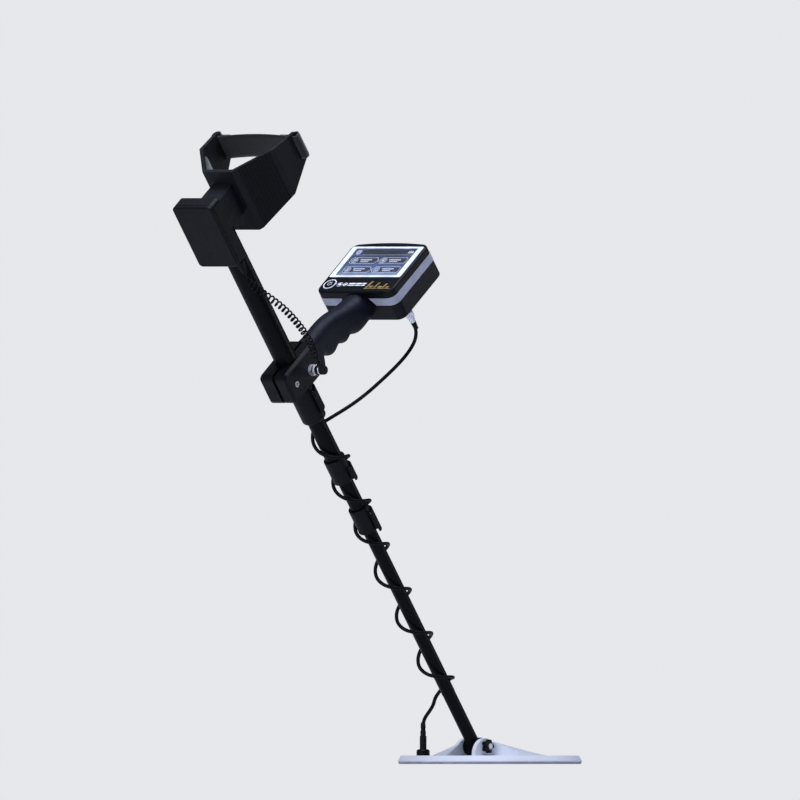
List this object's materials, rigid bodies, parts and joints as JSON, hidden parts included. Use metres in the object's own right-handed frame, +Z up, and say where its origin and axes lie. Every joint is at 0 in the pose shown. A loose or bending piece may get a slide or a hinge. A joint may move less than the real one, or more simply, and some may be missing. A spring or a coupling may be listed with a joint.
{
  "type": "metal detector",
  "caption": "Hand-held metal detector: round search coil on a telescopic flip-lock stem, pistol grip under a touch-screen console, strapped arm cuff and battery case.",
  "frame": {"origin": "centre of the search coil's underside", "axes": "+X forward from the user to the coil, +Y to the user's left, +Z up; the stem leans back at 52.2 degrees"},
  "size_m": [0.7716, 0.25, 0.8599],
  "materials": {
    "tube": "gloss black",
    "rod": "satin black",
    "case_plastic": "satin black",
    "lock_plastic": "satin black",
    "grip_plastic": "fine matt, blue-black",
    "steel": "satin",
    "foam": "matt",
    "webbing": "woven",
    "cell_wrap": "shrink wrap",
    "cable_rubber": "satin",
    "plug_metal": "satin",
    "band_plastic": "satin grey-lavender",
    "bezel": "gloss white",
    "glass": "gloss",
    "display": "blue screen",
    "board": "solder mask",
    "speaker_black": "paper cone",
    "ring_white": "gloss",
    "button_black": "gloss",
    "lamp": "clear",
    "bush": "nylon",
    "coil_white": "satin white",
    "coil_underside": "satin grey",
    "copper": "enamelled wire"
  },
  "bodies": {
    "root": {"upper_tube": "tube", "tube_end_cap": "case_plastic", "cuff_bracket": "case_plastic", "cuff_screws": "steel", "arm_cuff": "case_plastic", "cuff_pad": "foam", "arm_strap": "webbing", "battery_case": "case_plastic", "battery_cells": "cell_wrap", "battery_socket": "case_plastic", "battery_plug": "cable_rubber", "curly_cord": "cable_rubber", "handle_plug": "plug_metal", "handle_socket": "plug_metal", "housing_left": "case_plastic", "housing_right": "case_plastic", "housing_bolt": "steel", "grip_left": "grip_plastic", "grip_right": "grip_plastic", "console_front": "case_plastic", "console_band": "band_plastic", "console_rear": "case_plastic", "display_bezel": "bezel", "display_glass": "glass", "display_panel": "display", "main_board": "board", "speaker": "speaker_black", "power_ring": "ring_white", "indicator_lamp": "lamp", "console_socket": "plug_metal", "console_plug": "plug_metal", "cable_loop": "cable_rubber", "cable_wrap_upper": "cable_rubber", "lock_collar_1": "lock_plastic", "lock_pin_1": "steel"},
    "battery_cover": {"battery_cover": "case_plastic"},
    "power_button": {"power_button": "button_black"},
    "lever_1": {"lock_lever_1": "lock_plastic"},
    "upper_stem": {"upper_stem": "tube", "upper_stem_bush": "bush", "lock_collar_2": "lock_plastic", "lock_pin_2": "steel", "cable_wrap_middle": "cable_rubber"},
    "lever_2": {"lock_lever_2": "lock_plastic"},
    "middle_stem": {"middle_stem": "tube", "lock_collar_3": "lock_plastic", "lock_pin_3": "steel", "cable_wrap_lower": "cable_rubber"},
    "lever_3": {"lock_lever_3": "lock_plastic"},
    "lower_stem": {"lower_stem": "tube", "lower_rod": "rod", "foot_washers": "bush", "cable_lead": "cable_rubber"},
    "coil": {"coil_top": "coil_white", "coil_base": "coil_underside", "coil_windings": "copper", "coil_bolt": "steel", "coil_socket": "lock_plastic", "coil_plug": "cable_rubber"},
    "knob": {"coil_knob": "lock_plastic"}
  },
  "joints": [
    {"name": "upper_stem_slide", "type": "slide", "parent": "root", "child": "upper_stem", "axis": [0.6129, 0, -0.7902], "range_m": [-0.042, 0.13], "deforming": ["cable_wrap_upper"]},
    {"name": "middle_stem_slide", "type": "slide", "parent": "upper_stem", "child": "middle_stem", "axis": [0.6129, 0, -0.7902], "range_m": [-0.038, 0.13], "deforming": ["cable_wrap_middle"]},
    {"name": "lower_stem_slide", "type": "slide", "parent": "middle_stem", "child": "lower_stem", "axis": [0.6129, 0, -0.7902], "range_m": [-0.24, 0.1], "deforming": ["cable_wrap_lower"]},
    {"name": "coil_tilt", "type": "hinge", "parent": "lower_stem", "child": "coil", "pos_m": [-0.033, 0, 0.024], "axis": [0, 1, 0], "range_deg": [-50, 35], "deforming": ["cable_lead"]},
    {"name": "knob_turn", "type": "hinge", "parent": "coil", "child": "knob", "pos_m": [-0.033, -0.023, 0.024], "axis": [0, -1, 0], "continuous": true},
    {"name": "lever_1_open", "type": "hinge", "parent": "root", "child": "lever_1", "pos_m": [-0.39676, -0.0198, 0.49296], "axis": [0.6129, 0, -0.7902], "range_deg": [0, 100]},
    {"name": "lever_2_open", "type": "hinge", "parent": "upper_stem", "child": "lever_2", "pos_m": [-0.32107, -0.0178, 0.39537], "axis": [0.6129, 0, -0.7902], "range_deg": [0, 100]},
    {"name": "lever_3_open", "type": "hinge", "parent": "middle_stem", "child": "lever_3", "pos_m": [-0.2702, -0.0168, 0.32979], "axis": [0.6129, 0, -0.7902], "range_deg": [0, 100]},
    {"name": "power_button_press", "type": "slide", "parent": "root", "child": "power_button", "axis": [0.6129, 0, -0.7902], "range_m": [0, 0.001], "stiffness_N_per_m": 900, "springref_m": -0.0005},
    {"name": "battery_cover_lift", "type": "slide", "parent": "root", "child": "battery_cover", "axis": [-0.7902, 0, -0.6129], "range_m": [0, 0.03]}
  ]
}
